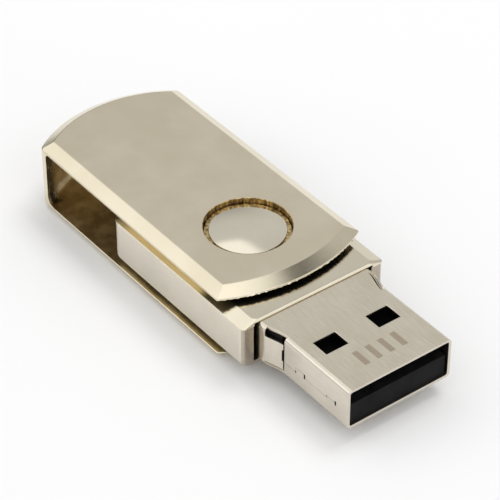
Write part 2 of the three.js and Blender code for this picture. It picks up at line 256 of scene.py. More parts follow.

# %% [markdown]
# ## The inside of the cover
# Plating hardly reaches the inside of a casting, so the metal there is dull and yellow. Painted light
# makes it brighter towards the open end, where light comes in, and painted shade makes it black under
# the upper plate's edge; the lid mirrors both. A patch inside the end wall, by its near edge, is darker.
# An image could place those, but only on a surface laid out flat. Here smooth steps along the axes
# do, and noise frays their edges.

# %% Dull plate
# Painted light towards the open end, painted shade under the upper plate's end, and the dark patch by the
# end wall
OPEN_END_LIGHT = (-11.0, -5.0)  # where each begins and is full: along x
SHADE_UNDER_PLATE_END, UPPER_PLATE = (4.5, 6.5), (4.0, 5.0)  # along x and z
DARK_PATCH_SIDE, DARK_PATCH_END = (-5.2, -6.6), (-19.6, -20.2)  # along y and x


def dull_plate():
    paint = Paint("dull inner plate", Metallic=1.0)
    where = paint.place()
    x, y, z = paint.axes(where)
    cloud = paint.noise(where, 2.2, detail=5, roughness=0.65)
    fine = paint.noise(where, 0.2, detail=4)
    # painted light: brighter towards the open end, where light comes in under the plate
    painted_light = paint.span(x + cloud * 0.004, *OPEN_END_LIGHT)
    # painted shade: black under the upper plate's open end, where the lid mirrors it
    black = paint.span(x + cloud * 0.002, *SHADE_UNDER_PLATE_END) * paint.span(z, *UPPER_PLATE)
    # a darker patch inside the end wall, by its near edge, frayed by noise
    corner = paint.span(y + fine * 0.002, *DARK_PATCH_SIDE) * paint.span(x, *DARK_PATCH_END)
    patch = paint.between(paint.noise(where, 1.1, detail=4), 0.36, 0.46) * corner
    plate = paint.mix(paint.between(cloud, 0.35, 0.65), (0.46, 0.36, 0.20), (0.74, 0.63, 0.42))
    plate = paint.mix(painted_light * 0.7, plate, (0.92, 0.80, 0.50))
    # painted shade mixed in: near black under the upper plate's end
    plate = paint.mix(black * 0.93, plate, (0.02, 0.016, 0.01))
    paint.set(Base_Color=paint.mix(patch * 0.95, plate, (0.015, 0.012, 0.008)))
    paint.set(Roughness=0.34 + (cloud - 0.5) * 0.25 + (fine - 0.5) * 0.1)
    return paint.set(Normal=paint.bump(fine, 0.004, paint.bump(cloud, 0.01))).material


inner_plate = dull_plate()
count_nodes(inner_plate)

# %% [markdown]
# The pivot's bushes are brass, and they leave their colour on the wall of the cover's hole. Turning
# and rubbing mark it in streaks, so the noise is drawn out along the pivot's axis.

# %% Dulled brass
def old_brass():
    paint = Paint("old brass", Metallic=1.0)
    where = paint.place()
    cloud = paint.noise(where, 0.9, detail=3)
    streaks = paint.noise(paint.stretch(where, (1, 1, 0.2)), 0.28, detail=3)
    tone = paint.between(cloud * 0.35 + streaks * 0.65, 0.40, 0.64)
    paint.set(Base_Color=paint.mix(tone, (0.26, 0.185, 0.085), (0.82, 0.64, 0.34)))
    return paint.set(Roughness=0.3 + cloud * 0.2, Normal=paint.bump(streaks, 0.006)).material


brass = old_brass()
count_nodes(brass)

# %% [markdown]
# ## Bench tools
# A flat outline is the start of most pieces. Typed as a list of points, an arc takes dozens of
# them. Here it is one point spun about the arc's centre, so a smoother arc costs one number.

# %% Outlines
def only(geometry, kind):
    return [item for item in geometry if isinstance(item, kind)]


def outline(bm, z, *stretches):
    """A face through stretches in turn: points (x, y) or arcs (centre, radius, from, to, steps)."""
    drawn, ends = set(bm.edges), []
    for stretch in stretches:
        if len(stretch) == 2:
            first = last = bm.verts.new((*stretch, z))
        else:
            centre, radius, start, stop, steps = stretch
            first = bm.verts.new((centre[0] + radius * cos(start), centre[1] + radius * sin(start), z))
            swept = bmesh.ops.spin(
                bm, geom=[first], cent=(*centre, z), axis=(0, 0, 1), angle=stop - start,
                steps=steps, use_duplicate=False,
            )
            last = only(swept["geom_last"], BMVert)[0]
        ends.append((first, last))
    for (_, last), (first, _) in zip(ends, ends[1:] + ends[:1]):
        bm.edges.new((last, first))
    made = bmesh.ops.contextual_create(bm, geom=[edge for edge in bm.edges if edge not in drawn])
    return made["faces"][0]


# %% [markdown]
# A symmetric piece is drawn as one half and mirrored, which keeps the two alike. No edge of a
# casting or a pressing is sharp, so edges are bevelled, but only those that turn by more than an
# angle: the rest would only add faces.

# %% Pull, twin and ease
SHARP_ANGLE = radians(24)


def pull(bm, faces, step):
    """Extrudes faces by a step and returns the new ones."""
    edges = {edge for face in faces for edge in face.edges}
    made = bmesh.ops.extrude_face_region(bm, geom=[*faces, *edges])["geom"]
    bmesh.ops.translate(bm, vec=step, verts=only(made, BMVert))
    return only(made, BMFace)


def add_twin(bm, flip, centre):
    """Adds the mesh's mirror image about a centre and joins the two where they meet."""
    twin = bmesh.ops.duplicate(bm, geom=bm.verts[:] + bm.edges[:] + bm.faces[:])["geom"]
    bmesh.ops.scale(bm, vec=flip, space=Matrix.Translation(-Vector(centre)), verts=only(twin, BMVert))
    bmesh.ops.remove_doubles(bm, verts=bm.verts[:], dist=1e-4)
    bmesh.ops.recalc_face_normals(bm, faces=bm.faces[:])


def ease(bm, edges, radius, segments=3):
    """Rounds the given edges."""
    bmesh.ops.bevel(
        bm, geom=list(edges), offset=radius, offset_type="OFFSET", affect="EDGES",
        segments=segments, profile=0.5, material=-1, clamp_overlap=False,
    )


def sharp_edges(bm, angle=SHARP_ANGLE):
    return [e for e in bm.edges if len(e.link_faces) == 2 and e.calc_face_angle(0) > angle]


# %% [markdown]
# A bench object holds a mesh while modifiers work on it: booleans, wall thickness and the weighted
# normals that keep flat faces flat beside rounded edges. They could stay live, but applied at once
# they leave plain geometry.

# %% Bench objects
def bench(bm, name="bench"):
    mesh = bpy.data.meshes.new(name)
    bmesh.ops.recalc_face_normals(bm, faces=bm.faces[:])
    bm.to_mesh(mesh)
    bm.free()
    piece = bpy.data.objects.new(name, mesh)
    bpy.context.scene.collection.objects.link(piece)
    return piece


def modify(piece, kind, **settings):
    modifier = piece.modifiers.new(kind.title(), kind)
    for setting, value in settings.items():
        setattr(modifier, setting, value)
    bpy.context.view_layer.update()
    result = piece.evaluated_get(bpy.context.evaluated_depsgraph_get())
    mesh = bpy.data.meshes.new_from_object(result)
    piece.modifiers.clear()
    piece.data = mesh
    return piece


# %% Finishing a piece
CREASE_ANGLE, FLATNESS = radians(50), 80  # what stays a crease, and how flat broad faces look


def finish(bm, name, body, nodes, paints, paint_of=None):
    """Scales a finished mesh to metres, smooths it and fixes it to its body."""
    bmesh.ops.dissolve_degenerate(bm, dist=1e-3, edges=bm.edges[:])
    for face in bm.faces:
        face.smooth = True
        if paint_of:
            face.material_index = paint_of(face)
    piece = bench(bm, name)
    piece.data.set_sharp_from_angle(angle=CREASE_ANGLE)
    modify(piece, "WEIGHTED_NORMAL", mode="FACE_AREA", weight=FLATNESS, keep_sharp=True)
    piece.data.transform(Matrix.Scale(1 / MM, 4))
    piece.data.name = name
    for paint in paints:
        piece.data.materials.append(paint)
    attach(piece, body)
    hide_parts(*nodes)
    print(f"{name}: {len(piece.data.polygons)} faces")


# %% [markdown]
# ## The swivel cover
# The real cover is a zinc casting: two plates joined by an arched end wall. Only its lower half is
# drawn, and the upper one is added as its twin. The plate's faces meet along clean lines, at its
# inner and its outer level, and bridges close its bevel and its hole. An inset would be shorter,
# but it folds over itself where a long bevel meets an arc's end, and a boolean leaves slivers.

# %% Cover sizes
OPEN_RADIUS, CLOSED_RADIUS = 17.6, 13.5  # of the open end's arc and of the end wall's
BEVEL_IN, BEVEL_DOWN = 1.2, 0.7
PLATE, END_WALL = 0.9, 0.65
HOLE_RADIUS = 4.25
HOLE_STEPS, OPEN_STEPS, ARCH_STEPS = 120, 96, 40

cover_half = cover_high.y
cover_height = cover_high.z - cover_low.z
open_centre = (cover_high.x - OPEN_RADIUS, 0)
wall_centre = (cover_low.x + CLOSED_RADIUS, 0)
wall_inside = CLOSED_RADIUS - END_WALL
seat_x = wall_centre[0] - sqrt(wall_inside ** 2 - cover_half ** 2)
print("cover:", round(2 * cover_half, 2), "wide and", round(cover_height, 2), "thick")


# %% Plate
def arch(radius, half, outwards=1):
    """An arc about the end wall's centre. With outwards = -1 it runs the other way."""
    bow = asin(half / radius) * outwards
    return wall_centre, radius, pi - bow, pi + bow, ARCH_STEPS


def plate_faces(bm, z, inset, with_seat):
    """The plate round the hole. With a seat, the end wall's crescent is a face of its own."""
    half, open_radius = cover_half - inset, OPEN_RADIUS - inset
    bow = asin(half / open_radius)
    hub, near, far = (pivot.x, 0), (pivot.x, -half), (pivot.x, half)
    seat_near, seat_far = (seat_x, -half), (seat_x, half)
    outline(
        bm, z, near, (open_centre, open_radius, -bow, bow, OPEN_STEPS), far,
        (hub, HOLE_RADIUS, pi / 2, -pi / 2, HOLE_STEPS),
    )
    hole = (hub, HOLE_RADIUS, -pi / 2, -3 * pi / 2, HOLE_STEPS)
    outer = arch(CLOSED_RADIUS - inset, half)
    if with_seat:
        outline(bm, z, far, arch(wall_inside, half), near, hole)
        outline(bm, z, outer, arch(wall_inside, half, -1))
    else:
        outline(bm, z, far, seat_far, outer, seat_near, near, hole)


# %% [markdown]
# The lower half is the plate with its bevel. Its side wall is a strip of extruded edges, and a
# bridge joins it to the smaller outer face. Another makes the hole's wall, cut into rings for the
# marks of the tool.

# %% Lower half
def open_edges(bm, z, at_hole):
    return [
        edge for edge in bm.edges
        if len(edge.link_faces) < 2 and all(abs(v.co.z - z) < 1e-4 for v in edge.verts)
        and ((edge.verts[0].co.xy - pivot.xy).length < HOLE_RADIUS + 0.01) == at_hole
    ]


def lower_half():
    bm = bmesh.new()
    plate_faces(bm, PLATE, 0, True)
    bmesh.ops.remove_doubles(bm, verts=bm.verts[:], dist=1e-3)
    made = bmesh.ops.extrude_edge_only(bm, edges=open_edges(bm, PLATE, False))["geom"]
    bmesh.ops.translate(bm, vec=(0, 0, BEVEL_DOWN - PLATE), verts=only(made, BMVert))
    plate_faces(bm, 0, BEVEL_IN, False)
    bmesh.ops.remove_doubles(bm, verts=bm.verts[:], dist=1e-3)
    bmesh.ops.bridge_loops(bm, edges=open_edges(bm, BEVEL_DOWN, False) + open_edges(bm, 0, False))
    hole_rims = open_edges(bm, PLATE, True) + open_edges(bm, 0, True)
    hole_wall = bmesh.ops.bridge_loops(bm, edges=hole_rims)["edges"]
    bmesh.ops.subdivide_edges(bm, edges=hole_wall, cuts=3)
    bmesh.ops.recalc_face_normals(bm, faces=bm.faces[:])
    return bm


bm = lower_half()
print("lower half of the cover:", len(bm.faces), "faces")


# %% End wall and upper half
def end_wall(bm):
    """Raises the crescent to the middle height, where it stays open."""
    crescent = min(
        (f for f in bm.faces if abs(f.calc_center_median().z - PLATE) < 1e-4),
        key=lambda f: f.calc_center_median().x,
    )
    top = pull(bm, [crescent], (0, 0, middle - PLATE))
    bmesh.ops.delete(bm, geom=top, context="FACES_ONLY")


end_wall(bm)
add_twin(bm, (1, 1, -1), (0, 0, middle))
level_seams = [
    e for e in bm.edges
    if len(e.link_faces) == 2 and all(abs(f.normal.y) > 0.999 for f in e.link_faces)
]
bmesh.ops.dissolve_edges(bm, edges=level_seams, use_verts=True)
print("both halves:", len(bm.faces), "faces,", len(level_seams), "level seams taken out")

# %% [markdown]
# A casting has a fillet wherever two walls meet, because sharp inner corners tear as it cools. The
# wall's foot gets a wide one below and a small one above, and its outer corners their own, before
# all the other edges are eased. Each is a bevel of a few edges, picked by place.

# %% Fillets
INNER_FILLET, UPPER_FILLET, CLOSED_CORNER, COVER_EDGE = 0.9, 0.4, 0.35, 0.07


def arch_distance(point):
    return (point.xy - Vector(wall_centre)).length


def at_wall_foot(vert):
    level = abs(vert.co.z - middle) - middle + PLATE
    return abs(level) < 1e-3 and abs(arch_distance(vert.co) - wall_inside) < 1e-2


def at_closed_corner(vert):
    at_side = abs(abs(vert.co.y) - cover_half) < 1e-3
    return at_side and arch_distance(vert.co) > CLOSED_RADIUS - 1e-3 and vert.co.x < wall_centre[0]


foot = [e for e in bm.edges if all(at_wall_foot(v) for v in e.verts)]
ease(bm, [e for e in foot if e.verts[0].co.z < middle], INNER_FILLET, 6)
ease(bm, [e for e in foot if e.is_valid and e.verts[0].co.z > middle], UPPER_FILLET, 4)
ease(bm, [e for e in bm.edges if all(at_closed_corner(v) for v in e.verts)], CLOSED_CORNER, 5)
print("cover:", len(bm.faces), "faces, open edges:", sum(len(e.link_faces) != 2 for e in bm.edges))
ease(bm, sharp_edges(bm), COVER_EDGE)

# %% [markdown]
# The tool that opened the hole left teeth in its wall, and the open end keeps an uneven flash.
# Bump would vanish at the outline, so the points themselves move, and whole columns of them alike,
# because neighbours that move apart fold the bevel between them.

# %% Teeth and flash
TOOTH, CAST_FLASH = 0.11, 0.10
WALL_TOP, WALL_FOOT = PLATE / 5, PLATE * 0.8  # the part of the hole's wall that has teeth
FLASH_BAND, FLASH_END = 0.09, 0.5  # its half height, and how far from the sides


def roughen(bm):
    chance = random.Random(5)
    teeth = [chance.uniform(0, TOOTH) for _ in range(2 * HOLE_STEPS)]
    flash = [chance.uniform(0, CAST_FLASH) ** 2 / CAST_FLASH for _ in range(OPEN_STEPS + 1)]
    open_step = 2 * asin(cover_half / OPEN_RADIUS) / OPEN_STEPS
    moved = 0
    for vert in bm.verts:
        depth = middle - abs(vert.co.z - middle)
        spoke = vert.co.xy - pivot.xy
        out = vert.co.xy - Vector(open_centre)
        at_open_end = out.length > OPEN_RADIUS - 0.1 and abs(vert.co.y) < cover_half - FLASH_END
        if abs(spoke.length - HOLE_RADIUS) < 0.01 and WALL_TOP < depth < WALL_FOOT:
            column = round(atan2(spoke.y, spoke.x) / pi * HOLE_STEPS)
            vert.co.xy += spoke.normalized() * teeth[column]
            moved += 1
        elif abs(depth - PLATE) < FLASH_BAND and at_open_end:
            column = round(atan2(out.y, out.x) / open_step) + OPEN_STEPS // 2
            vert.co.xy += out.normalized() * flash[column]
            moved += 1
    print("teeth and flash:", moved, "points moved")


roughen(bm)


# %% The cover's finishes
def cover_paint(face):
    """0 outside, 1 inside and 2 in the hole."""
    centre = face.calc_center_median()
    if all((v.co.xy - pivot.xy).length < HOLE_RADIUS + TOOTH + 0.01 for v in face.verts):
        return 2
    if abs(face.normal.y) > 0.95:
        return 0
    within = arch_distance(centre) < wall_inside + 0.02 or centre.x > wall_centre[0]
    return int(within and abs(centre.z - middle) < middle - PLATE + 0.02)


finish(
    bm, "cover_casting", "cover", ["swivel_cover"], [cast_nickel, inner_plate, brass],
    cover_paint,
)

# %% [markdown]
# ## The housing
# The lid and the tub are pressed from sheet. A hollowed block would do, but its wall is hard to keep
# even. Here each starts as the outside surface, open where the metal is open, and gets its
# thickness inwards afterwards. A loft draws one outline at a few heights, joined by strips.

# %% Cuts
def cut(bm, faces, point, normal):
    """Cuts the given faces by a plane."""
    around = {item for face in faces for item in (*face.verts, *face.edges)}
    bmesh.ops.bisect_plane(bm, geom=[*faces, *around], dist=1e-3, plane_co=point, plane_no=normal)


def remove_faces(bm, test):
    gone = [face for face in bm.faces if test(face.calc_center_median())]
    bmesh.ops.delete(bm, geom=gone, context="FACES")


# %% Housing outline
SHEET = 0.3
REAR_RADIUS = 36.0
REAR_CORNER, FRONT_CORNER, LEAST_CORNER = 1.3, 0.45, 0.4
MOUTH_GAP = 0.32  # beside the plug, where it goes through the front wall
housing_half = tub_high.y
mouth_half = plug_high.y + MOUTH_GAP


def housing_outline(bm, z, inset, front):
    """The housing from above. The inset draws the sides and the rear in, not the front."""
    half, rear = housing_half - inset, REAR_RADIUS - inset
    corner = max(REAR_CORNER - inset, LEAST_CORNER)
    rear_x = tub_low.x + REAR_RADIUS
    bow = asin((half - corner) / (rear - corner))
    corner_x, corner_y = rear_x - (rear - corner) * cos(bow), half - corner
    front_x, front_y = front - FRONT_CORNER, half - FRONT_CORNER
    return outline(
        bm, z,
        ((front_x, -front_y), FRONT_CORNER, -pi / 2, 0, 6),
        ((front_x, front_y), FRONT_CORNER, 0, pi / 2, 6),
        ((corner_x, corner_y), corner, pi / 2, pi - bow, 8),
        ((rear_x, 0), rear, pi - bow, pi + bow, 24),
        ((corner_x, -corner_y), corner, pi + bow, 3 * pi / 2, 8),
    )


def loft(bm, front_at, levels):
    """Joins housing outlines at (height, inset) levels. Only the last one's face stays."""
    faces = [housing_outline(bm, height, inset, front_at(height)) for height, inset in levels]
    loops = [list(face.edges) for face in faces]
    bmesh.ops.delete(bm, geom=faces[:-1], context="FACES_ONLY")
    for one, other in zip(loops, loops[1:]):
        bmesh.ops.bridge_loops(bm, edges=one + other)


# %% Mouth
def open_mouth(bm, front, low, high):
    """Opens the front wall between two heights, as wide as the plug and its gaps."""
    across, up = (0, 1, 0), (0, 0, 1)
    planes = [((0, side * mouth_half, 0), across) for side in (-1, 1)]
    for point, normal in (*planes, ((0, 0, low), up), ((0, 0, high), up)):
        front_wall = [face for face in bm.faces if face.calc_center_median().x > front - 1e-3]
        cut(bm, front_wall, point, normal)
    remove_faces(bm, lambda c: c.x > front - 1e-3 and abs(c.y) < mouth_half and low < c.z < high)


print("mouth of the housing:", round(2 * mouth_half, 2), "wide")

# %% [markdown]
# The lid is a shallow tray upside down, with a broad bevel and a narrow bright one on its front
# edge. An edge bevel there meets the broad one in a spike, so it is a level of the loft, where the
# front is drawn in. The rivet's hole is a boolean, which is safe where it meets only flat faces.

# %% Drill and thicken
def drill(radius, low, high):
    """A round tool on the pivot's axis."""
    bm = bmesh.new()
    bmesh.ops.create_cone(
        bm, cap_ends=True, segments=96, radius1=radius, radius2=radius, depth=high - low,
        matrix=Matrix.Translation((pivot.x, 0, (low + high) / 2)),
    )
    return bench(bm)


def carve(piece, tool):
    modify(piece, "BOOLEAN", object=tool, operation="DIFFERENCE", solver="EXACT")
    bpy.data.objects.remove(tool)
    return piece


def rework(piece):
    """The piece's mesh as a bmesh again. The bench object goes."""
    bm = bmesh.new()
    bm.from_mesh(piece.data)
    bpy.data.objects.remove(piece)
    return bm


def thicken(surface, sheet):
    return rework(modify(surface, "SOLIDIFY", thickness=sheet, offset=-1, use_even_offset=True))


# %% Lid
LID_DEPTH, LID_BEVEL_IN, LID_LIP = 0.6, 1.4, 0.14  # the lip is the upright rim below the bevel
LIP_BEVEL, LID_EDGE, RIVET_HOLE = 0.2, 0.04, 1.93
CLEARANCE = 0.03  # between parts that all but touch
lid_foot = lid_high.z - LID_DEPTH


def lid_surface():
    bm = bmesh.new()
    bevel_foot, lip_foot = lid_foot + LID_LIP, lid_high.z - LIP_BEVEL
    share = (lip_foot - bevel_foot) / (lid_high.z - bevel_foot)
    loft(bm, lambda z: lid_high.x - max(z - lip_foot, 0), [
        (lid_foot, 0), (bevel_foot, 0), (lip_foot, LID_BEVEL_IN * share), (lid_high.z, LID_BEVEL_IN),
    ])
    open_mouth(bm, lid_high.x, lid_foot - 1, plug_high.z + CLEARANCE)
    return bench(bm)


bm = thicken(lid_surface(), SHEET)
ease(bm, sharp_edges(bm, radians(16)), LID_EDGE)
bm = rework(carve(bench(bm), drill(RIVET_HOLE, middle, cover_height)))
finish(bm, "housing_lid", "drive", ["upper_housing"], [sheet_nickel])

# %% [markdown]
# The tub's foot turns in a round bend, a quarter circle of loft levels. An edge bevel would do, but
# levels keep the strips even round the corners. The tub's nickel is a darker, greyer copy of the lid's:
# painted shade, for walls that mirror the floor. Its faces that look forwards, round the mouth, get
# a darker copy still: painted shade, where they mirror the plug's side and its shadow on the floor.

# %% Tub
FOOT_RADIUS, FOOT_STEPS, RIM_EDGE = 0.8, 5, 0.05
# where the painted shade goes: faces that look forwards, near the front
SHADED_FRONT_SLOPE, SHADED_FRONT_BAND = 0.55, 0.5  # a face that looks forwards, near the front


def tub_surface():
    bm = bmesh.new()
    turns = [step * pi / 2 / FOOT_STEPS for step in range(FOOT_STEPS + 1)]
    bend = [(tub_low.z + FOOT_RADIUS * (1 - sin(turn)), FOOT_RADIUS * (1 - cos(turn))) for turn in turns]
    loft(bm, lambda z: tub_high.x, [(tub_high.z, 0), *bend])
    open_mouth(bm, tub_high.x, tub_low.z + SHEET, tub_high.z + 1)
    return bench(bm)


def at_rim(vert):
    in_mouth = abs(vert.co.y) < mouth_half + 0.01 and vert.co.x > tub_high.x - SHEET - 0.01
    return vert.co.z > tub_high.z - 1e-3 or in_mouth


# 1 gives the darker copy with painted shade on the faces that look forwards
def tub_paint(face):
    at_front = face.calc_center_median().x > tub_high.x - SHADED_FRONT_BAND
    return int(at_front and face.normal.x > SHADED_FRONT_SLOPE)


bm = thicken(tub_surface(), SHEET)
rim = [e for e in sharp_edges(bm, radians(50)) if all(at_rim(v) for v in e.verts)]
ease(bm, rim, RIM_EDGE)
bm = rework(carve(bench(bm), drill(RIVET_HOLE, 0, middle)))
finish(
    bm, "housing_tub", "drive", ["lower_housing"], [shaded_tub_nickel, shaded_front_nickel], tub_paint,
)

# %% [markdown]
# ## Plug steel
# The plug's shell is rolled strip, so its grain runs along the plug. Its broad upper face carries a
# mark etched by a laser: a plain row of bars, browner and duller than the steel round it. It has no
# depth to see, so it isn't cut, and only colour and gloss draw it.

# %% Etched strip steel
MARK_BARS = 4
MARK_FRONT, MARK_LENGTH = 1.9, 2.0  # plug's tip to the bars, and the bars' length
MARK_PITCH, MARK_WIDTH, MARK_BLUR = 1.45, 0.62, 0.03


def etched_bars(paint, x, y):
    """1 on the bars."""
    middle_x = (plug_high.x - MARK_FRONT - MARK_LENGTH / 2) / MM
    half_length, half_width = MARK_LENGTH / 2, MARK_WIDTH / 2
    bars = 0.0
    for bar in range(MARK_BARS):
        centre = (bar - (MARK_BARS - 1) / 2) * MARK_PITCH / MM
        across = paint.maths("ABSOLUTE", y - centre)
        bars = bars + paint.span(across, half_width + MARK_BLUR, half_width - MARK_BLUR)
    along = paint.maths("ABSOLUTE", x - middle_x)
    return bars * paint.span(along, half_length + MARK_BLUR, half_length - MARK_BLUR)


def plug_steel(name, dark, light, etched=False):
    paint = Paint(name, Metallic=1.0)
    where = paint.place()
    x, y, _ = paint.axes(where)
    grain = paint.noise(paint.stretch(where, (0.06, 1, 1)), 0.11, detail=5, roughness=0.6)
    cloud = paint.noise(where, 3.0, detail=3)
    steel = paint.mix(paint.between(grain * 0.6 + cloud * 0.4, 0.35, 0.65), dark, light)
    rough = 0.22 + (grain - 0.5) * 0.16
    if etched:
        mark = etched_bars(paint, x, y)
        speckle = paint.noise(where, 0.07, detail=3)
        steel = paint.mix(mark * (0.45 + speckle * 0.6), steel, (0.42, 0.33, 0.24))
        rough = rough + mark * 0.18
    relief = paint.bump(grain, 0.0012, paint.bump(cloud, 0.001))
    return paint.set(Base_Color=steel, Roughness=rough, Normal=relief).material


# painted shade: the sides and underside get a darker, greyer copy of the upper face's steel, as they
# mirror the floor's shadow
shaded_plug_steel = plug_steel("plug steel", (0.655, 0.60, 0.51), (0.735, 0.68, 0.585))
etched_steel = plug_steel("etched plug steel", (0.74, 0.675, 0.54), (0.83, 0.765, 0.63), etched=True)
count_nodes(shaded_plug_steel, etched_steel)

# %% [markdown]
# ## The plug's shell
# A shell like this is stamped flat, with its windows and side wings already cut, and then folded
# round a bar. Here the folded sleeve is a surface first. The openings are cut out of it, and it is
# thickened inwards, so every opening shows the strip's bright edge.

# %% Sleeve
PLUG_HALF, PLUG_HEIGHT, PLUG_SHEET, PLUG_EDGE = 6.0, 4.5, 0.3, 0.5
FLARE_START, FLARE_LENGTH, FLARE_STEPS = 0.6, 2.7, 10
SLEEVE_REAR = 2.0  # how far the sleeve starts from the shell's rear end
FOLDS = ((1, 1), (-1, 1), (-1, -1), (1, -1))
flare_x = tub_high.x + FLARE_START
flare_end = flare_x + FLARE_LENGTH
sleeve_x = plug_low.x + SLEEVE_REAR


def sleeve():
    """A straight sleeve, in rings. Its section is drawn flat and stood on end."""
    bm = bmesh.new()
    half, tall, quarter = PLUG_HALF - PLUG_EDGE, PLUG_HEIGHT / 2 - PLUG_EDGE, pi / 2
    section = outline(
        bm, sleeve_x,
        *[((side_y * half, side_z * tall), PLUG_EDGE, turn * quarter, (turn + 1) * quarter, 5)
          for turn, (side_y, side_z) in enumerate(FOLDS)],
    )
    on_end = Matrix.Rotation(radians(120), 3, (1, 1, 1))
    bmesh.ops.rotate(bm, cent=(0, 0, 0), matrix=on_end, verts=bm.verts[:])
    bmesh.ops.translate(bm, vec=(0, 0, middle), verts=bm.verts[:])
    bmesh.ops.delete(bm, geom=[section], context="FACES_ONLY")
    ring, place = bm.edges[:], sleeve_x
    stops = [flare_x + FLARE_LENGTH * step / FLARE_STEPS for step in range(FLARE_STEPS + 1)]
    for stop in (*stops, plug_high.x):
        made = bmesh.ops.extrude_edge_only(bm, edges=ring)["geom"]
        ring = only(made, BMEdge)
        bmesh.ops.translate(bm, vec=(stop - place, 0, 0), verts=only(made, BMVert))
        place = stop
    bmesh.ops.recalc_face_normals(bm, faces=bm.faces[:])
    return bm


bm = sleeve()
print("sleeve:", len(bm.faces), "faces")

# %% [markdown]
# The windows let the socket's springs catch the plug, and the wings, cut free on three sides, press
# against the socket. Booleans on an open surface are unreliable, so a box's outline is scored into
# the faces and the faces inside it are taken out.

# %% Score and punch
def inside(point, low, high):
    return all(a < place < b for a, place, b in zip(low, point, high))


def touches(face, low, high):
    spans = [[vert.co[axis] for vert in face.verts] for axis in range(3)]
    return all(max(s) > a + 1e-5 and min(s) < b - 1e-5 for a, s, b in zip(low, spans, high))


def score(bm, low, high):
    """Cuts a box's outline into the faces that it meets."""
    for axis in range(3):
        normal = Vector([float(axis == each) for each in range(3)])
        for bound in (low[axis], high[axis]):
            cut(bm, [f for f in bm.faces if touches(f, low, high)], normal * bound, normal)


def punch(bm, low, high):
    score(bm, low, high)
    remove_faces(bm, lambda centre: inside(centre, low, high))


# %% Windows and wings
WINDOW_TIP, WINDOW_LENGTH, WINDOW_IN, WINDOW_WIDTH = 5.16, 1.95, 1.8, 2.5
WING_LENGTH, WING_ABOVE, WING_BELOW, WING_SLIT, LATCH = 2.2, 0.65, 0.3, 0.16, 1.3
NEAR_SLOT_IN, FAR_SLOT, FAR_SLOT_IN, FAR_SLOT_OUT = 0.35, 2.6, 0.66, -0.12
CLEAR = 20  # far enough to cut right through
plug_top, plug_foot = plug_high.z, plug_low.z
wing_top, wing_foot = plug_top - PLUG_SHEET - WING_ABOVE, plug_foot + PLUG_SHEET + WING_BELOW
window_front = plug_high.x - WINDOW_TIP
# Each slot: its length, its foot, its top, and how far it reaches in and out from the plug's side.
near_slot = (WING_LENGTH, wing_top, CLEAR, NEAR_SLOT_IN, CLEAR)
far_slot = (FAR_SLOT, middle, CLEAR, FAR_SLOT_IN, FAR_SLOT_OUT)
other_slots = (
    (WING_LENGTH, plug_foot + PLUG_SHEET, wing_foot, PLUG_EDGE, CLEAR),
    (WING_SLIT, wing_foot, wing_top, PLUG_EDGE, CLEAR),
    (2 * WING_SLIT, middle - LATCH / 2, middle + LATCH / 2, PLUG_EDGE, CLEAR),
)
for side, top_slot in ((-1, near_slot), (1, far_slot)):
    near, far = sorted((side * WINDOW_IN, side * (WINDOW_IN + WINDOW_WIDTH)))
    punch(bm, (window_front - WINDOW_LENGTH, near, -CLEAR), (window_front, far, CLEAR))
    for length, z0, z1, reach_in, reach_out in (top_slot, *other_slots):
        near, far = sorted((side * (PLUG_HALF - reach_in), side * (PLUG_HALF + reach_out)))
        punch(bm, (flare_end - length, near, z0), (flare_end, far, z1))
print("stamped sleeve:", len(bm.faces), "faces")

# %% [markdown]
# Behind the wings the shell spreads a little, to fill the housing's mouth. A lattice could bend it,
# but one smooth step along the plug starts and ends level, so both bends are soft.

# %% Flare
wide = plug_high.y


def flare(bm):
    """Spreads the sleeve's sides towards the housing, with a soft bend at both ends."""
    for vert in bm.verts:
        share = min(max((flare_end - vert.co.x) / FLARE_LENGTH, 0), 1)
        if abs(vert.co.y) > PLUG_HALF - 2 * PLUG_EDGE:
            vert.co.y += copysign((wide - PLUG_HALF) * share ** 2 * (3 - 2 * share), vert.co.y)


flare(bm)
print("flare:", round(wide - PLUG_HALF, 2), "to each side")

# %% [markdown]
# Thickness comes after the bends, so that it is even. A stamped edge is rolled over on the outside,
# and the windows' edges most.

# %% Thickness and edges
WINDOW_EDGE, STRIP_EDGE = 0.1, 0.04
bm = thicken(bench(bm), PLUG_SHEET)


def at_window(vert):
    outer_skin = abs(vert.co.z - middle) > PLUG_HEIGHT / 2 - 1e-3
    across = abs(vert.co.y) < WINDOW_IN + WINDOW_WIDTH + 0.1
    return outer_skin and across and flare_end < vert.co.x < plug_high.x - 1


window_rims = [e for e in sharp_edges(bm, radians(40)) if all(at_window(v) for v in e.verts)]
ease(bm, window_rims, WINDOW_EDGE)
ease(bm, sharp_edges(bm, radians(40)), STRIP_EDGE, 2)
print("thick sleeve:", len(bm.faces), "faces,", len(window_rims), "window edges rolled over")

# %% [markdown]
# The strip's two ends meet along the near side, in a hair line with a dovetail step. Where the
# stamping tool bit, small nicks are left on it. Bump would do from afar, but this line shows that
# the shell is folded, so it is pressed into the metal.

# %% Seam
SEAM, SEAM_DEPTH, NICK_DEPTH, SEAM_START, SKIN = 0.03, 0.04, 0.25, 0.1, 0.01
# Each stretch of the line: where it stops from the flare's end, and its height from the middle.
LINE_LEVELS = [(1.7, -0.60), (3.0, -0.05), (6.15, -0.42), (7.4, -0.25)]
